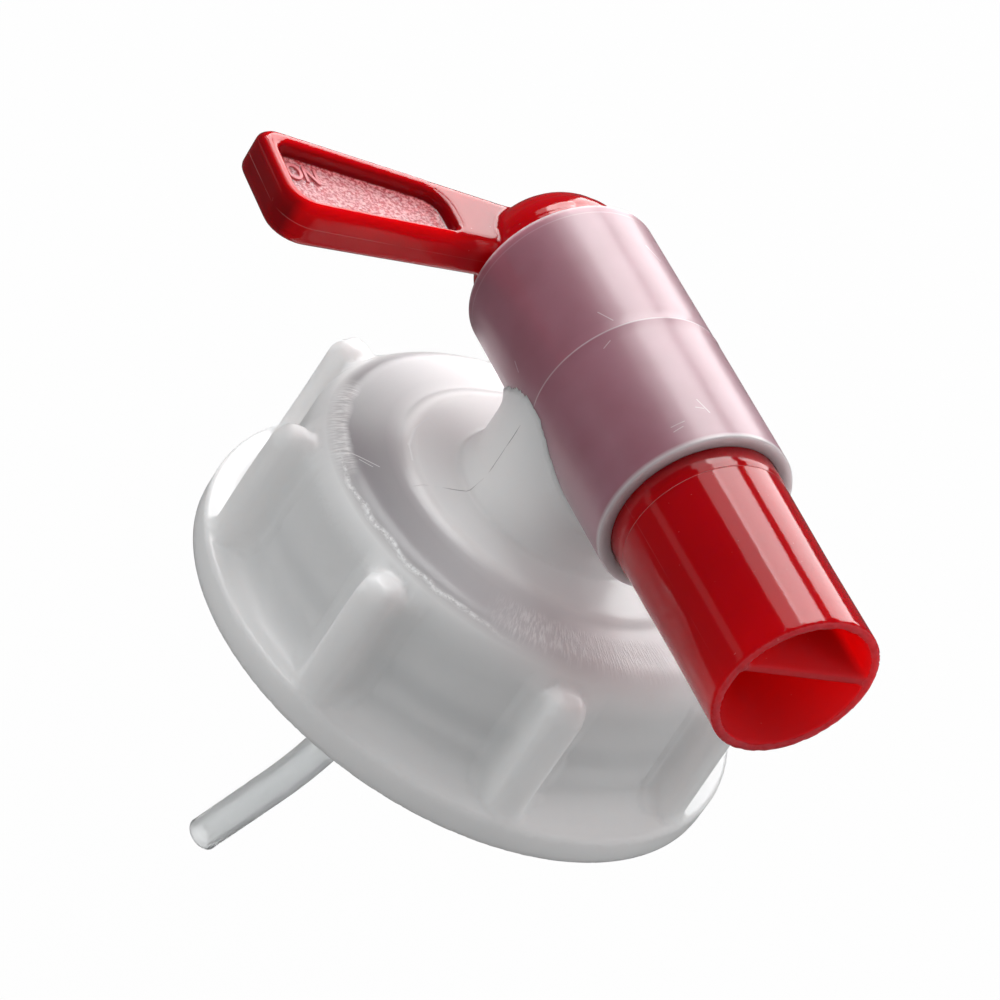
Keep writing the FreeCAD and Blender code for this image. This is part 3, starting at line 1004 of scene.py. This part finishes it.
def milky_plastic():
    """Soft white plastic of the cap, with its worn shoulder, scratches and parting line, a painted shade on
    the crown, painted light on the disc and a painted highlight along the disc's edge.
    """
    material, tree, output = new_material("milky_plastic")
    vector, x, y, z = place_on_piece(tree)
    from_cap = across(tree, x, y)
    cloud = noise(tree, vector, 0.24)
    worn = worn_shoulder(tree, vector, x, y, z, from_cap, cloud)
    flat = vector_math(tree, "MULTIPLY", vector, (1, 1, 0)).outputs[0]
    scratches = any_of(tree, *[stroke(tree, flat, *scratch) for scratch in crown_scratches_and_highlight])
    # The white mixed in below is real wear and scratches, plus the painted highlight of the crescent strokes.
    marks = any_of(tree, worn, product(tree, scratches, ramp(tree, z, 22.5, 23.5)))
    colour = milk_of_cap(tree, x, y, z, from_cap, cloud)
    colour = mixed(tree, product(tree, marks, 0.9), colour, RUBBED_AND_HIGHLIGHT)
    colour = mixed(tree, product(tree, parting_line(tree, y, z, cloud), 0.75), colour, SEAM_SHADE)
    relief = total_of(tree, product(tree, worn, 0.5), product(tree, noise(tree, vector, 0.9), 0.05))
    rough = number(tree, "MULTIPLY_ADD", worn, 0.15, 0.3)
    surface(tree, output, colour, rough, relief, 0.5, 0.22, **milky_settings)
    return material


milky = milky_plastic()
cap.data.materials.append(milky)
ridge.data.materials.append(milky)
print("milky plastic:", len(milky.node_tree.nodes), "nodes")

# %% [markdown]
# ## Milky plastic over the plug
# The red plug shows through the barrel's thin wall as a dusky pink. A see-through wall would need
# exact depths and long render times, so the tint is a colour of the wall itself. It is there only
# on the outside, which is known from the distance to the barrel's axis. A rough clear coat gives
# the wall its broad silky sheen beside the sharper highlight.

# %% Barrel's wall
# A pale line near the dome end is a painted highlight, where light catches the end's rounding.
END_HIGHLIGHT_AT = 19.7
END_MILK = (0.60, 0.51, 0.53), (0.68, 0.59, 0.61)
DUSKY = (0.32, 0.10, 0.14), (0.45, 0.19, 0.25)
PALE_MARK_AND_HIGHLIGHT = (0.75, 0.66, 0.68)


def milky_over_red():
    """The barrel's wall: milky plastic with the red plug behind it, pale where there is no plug, with a
    painted highlight line near the dome end.
    """
    material, tree, output = new_material("milky_over_red")
    vector, x, y, z = place_on_piece(tree)
    from_barrel = across(tree, x, number(tree, "SUBTRACT", z, BARREL_HEIGHT))
    outside = ramp(tree, from_barrel, 12.35, 12.65)
    tint = product(tree, outside, band(tree, y, -20.55, 20.5, 0.6), 0.97)
    cloud = noise(tree, vector, 0.12)
    colour = mixed(tree, tint, mixed(tree, cloud, *END_MILK), mixed(tree, cloud, *DUSKY))
    mould_ring = product(tree, thin_line(tree, y, SEAM_AT, 0.16), 0.6)
    # Painted highlight: a faint pale line 1.5 mm from the dome end; the same pale colour also marks the mould
    # ring and the scratches.
    end_highlight = product(tree, thin_line(tree, y, END_HIGHLIGHT_AT, 0.14), 0.24)
    scratches = any_of(tree, *[stroke(tree, vector, *ends, SCRATCH_WIDTH) for ends in barrel_scratches])
    colour = mixed(tree, any_of(tree, mould_ring, end_highlight, product(tree, scratches, 0.8)), colour, PALE_MARK_AND_HIGHLIGHT)
    relief = product(tree, noise(tree, vector, 0.7), 0.06)
    rough = number(tree, "MULTIPLY_ADD", cloud, 0.08, 0.2)
    coat = {"Coat_Weight": 1.0, "Coat_IOR": 1.7, "Coat_Roughness": 0.5}
    surface(tree, output, colour, rough, relief, 0.5, 0.22, **milky_settings, **coat)
    return material


barrel_milk = milky_over_red()
skin.data.materials.append(barrel_milk)
print("barrel's wall:", len(barrel_milk.node_tree.nodes), "nodes")

# %% [markdown]
# ## Red plastic
# The plug is glossy and strongly coloured. Its pocket floors are different: the mould was
# spark-eroded there, which leaves a fine grain that scatters light, and it looks pale. The cut
# end of the spout is duller. The inside of the spout is painted a brighter red, a painted glow
# for the red light that comes through the wall, and the lever's narrow sides are painted darker,
# a painted shade.

# %% Zones of the plug
GRAIN_SCALE = 2.2


def pocket_floors(tree, x, y, off_middle):
    """Mask of the grained floors of both pockets."""
    top_edge = number(tree, "MULTIPLY_ADD", x, -0.163, 31.6)
    under_top = number(tree, "SUBTRACT", top_edge, y)
    return product(tree, band(tree, off_middle, 0.5, POCKET_FLOOR + 0.12, 0.12),
                   band(tree, x, -40.4, -15.6, 0.2), band(tree, y, 24.0, 45.0, 0.2),
                   band(tree, under_top, 2.0, 30.0, 0.2))


def red_zones(tree, x, y, off_middle, floor, cut, cloud, grain, streaks):
    """Colour of the skin, the pocket floors and the cut end, with a painted shade on the lever's sides and a
    painted glow in the bore.
    """
    # Painted glow: the spout's bore is painted a brighter red, standing in for light that comes through the
    # wall.
    bore_painted_glow = product(tree, ramp(tree, across(tree, x, off_middle), 9.8, 9.5), ramp(tree, y, -20.0, -21.0))
    # Painted shade: the lever's narrow sides, near its middle plane, are painted a dark red.
    side = product(tree, band(tree, y, 24.0, 60.0, 1.0), band(tree, off_middle, -1.0, 2.6, 0.6))
    colour = mixed(tree, cloud, (0.46, 0.0, 0.003), (0.54, 0.0, 0.005))
    colour = mixed(tree, side, colour, (0.22, 0.0, 0.003))
    grained = mixed(tree, ramp(tree, grain, 0.42, 0.62), (0.50, 0.05, 0.07), (0.95, 0.50, 0.52))
    colour = mixed(tree, floor, colour, grained)
    colour = mixed(tree, bore_painted_glow, colour, (0.88, 0.03, 0.04))
    return mixed(tree, cut, colour, mixed(tree, streaks, (0.42, 0.03, 0.04), (0.58, 0.10, 0.12)))


def fine_lines(tree, vector, x, y, off_middle, cloud, ring):
    """Pale fine marks: a ring on the spout, specks, the root of the lever and its parting line."""
    specks = ramp(tree, noise(tree, vector, 1.7, 1.0), 0.7786, 0.85)
    from_dome = across(tree, x, number(tree, "SUBTRACT", y, DOME_CENTRE))
    root = product(tree, thin_line(tree, from_dome, 11.0, 0.2), band(tree, off_middle, 3.1, 9.0, 0.2))
    parting = product(tree, ramp(tree, off_middle, 0.1, 0), band(tree, x, -60.0, -11.5, 1.0),
                      ramp(tree, cloud, 0.4, 0.65))
    return any_of(tree, product(tree, ring, 0.35), product(tree, specks, 0.3), product(tree, root, 0.45),
                  product(tree, parting, 0.3))


# %% Glossy red
SPOUT_RING_AT = -24.4
GLOSS = 0.09
FINE_MARK = (0.9, 0.5, 0.5)


def red_plastic():
    """Glossy red, with grain on the pocket floors and a duller, paler cut end."""
    material, tree, output = new_material("red_plastic")
    vector, x, y, z = place_on_piece(tree)
    off_middle = off(tree, z, BARREL_HEIGHT)
    floor = pocket_floors(tree, x, y, off_middle)
    cut = ramp(tree, y, -50.0, -50.2)
    cloud = noise(tree, vector, 0.12)
    grain = noise(tree, vector, GRAIN_SCALE, 3.0, 0.65)
    streaks = noise(tree, vector, 1.2)
    ring = thin_line(tree, y, SPOUT_RING_AT, 0.08)
    colour = red_zones(tree, x, y, off_middle, floor, cut, cloud, grain, streaks)
    colour = mixed(tree, fine_lines(tree, vector, x, y, off_middle, cloud, ring), colour, FINE_MARK)
    relief = total_of(tree, product(tree, streaks, 0.05), product(tree, floor, grain, 1.2),
                      product(tree, ring, -0.5))
    dull = any_of(tree, product(tree, floor, 0.3), product(tree, cut, 0.25))
    rough = number(tree, "ADD", dull, GLOSS)
    surface(tree, output, colour, rough, relief, 0.8, 0.12, IOR=1.49,
            Subsurface_Weight=1.0, Subsurface_Radius=(1.0, 0.03, 0.03), Subsurface_Scale=9.0 * MM)
    return material


def letter_red():
    """Red of the raised letters, as pale as the grained floor round them."""
    material, tree, output = new_material("letter_red")
    grain = noise(tree, place_on_piece(tree)[0], GRAIN_SCALE, 4.0, 0.65)
    surface(tree, output, mixed(tree, grain, (0.55, 0.04, 0.06), (0.85, 0.30, 0.32)), 0.3)
    return material


red = red_plastic()
plug.data.materials.append(red)
letters_finish = letter_red()
for word in (word_on, word_off):
    word.data.materials.append(letters_finish)
print("red plastic:", len(red.node_tree.nodes), "nodes")

# %% [markdown]
# ## Rubber and clear plastic
# The ring is matt, soft rubber with a faint grain. The tube is thin clear plastic that has gone a
# little cloudy, so part of the light goes straight through and part of it is scattered.

# %% Rubber and clear plastic
def seal_rubber():
    """Matt rubber with a faint grain."""
    material, tree, output = new_material("seal_rubber")
    grain = noise(tree, place_on_piece(tree)[0], 1.5, 4.0)
    surface(tree, output, mixed(tree, grain, (0.66, 0.66, 0.64), (0.74, 0.74, 0.72)), 0.65, grain, 0.3, 0.1)
    return material


def cloudy_tube():
    """Cloudy clear plastic."""
    material, tree, output = new_material("cloudy_tube")
    cloud = noise(tree, place_on_piece(tree)[0], 0.25, 3.0)
    surface(tree, output, mixed(tree, cloud, (0.92, 0.94, 0.95), (0.97, 0.98, 0.98)), 0.3, cloud, 0.1, 0.1,
            Transmission_Weight=0.8, Subsurface_Weight=1.0, Subsurface_Radius=(1.0, 1.0, 1.0),
            Subsurface_Scale=1.5 * MM)
    return material


seal.data.materials.append(seal_rubber())
tube.data.materials.append(cloudy_tube())
print("finishes:", sorted(m.name for m in bpy.data.materials))
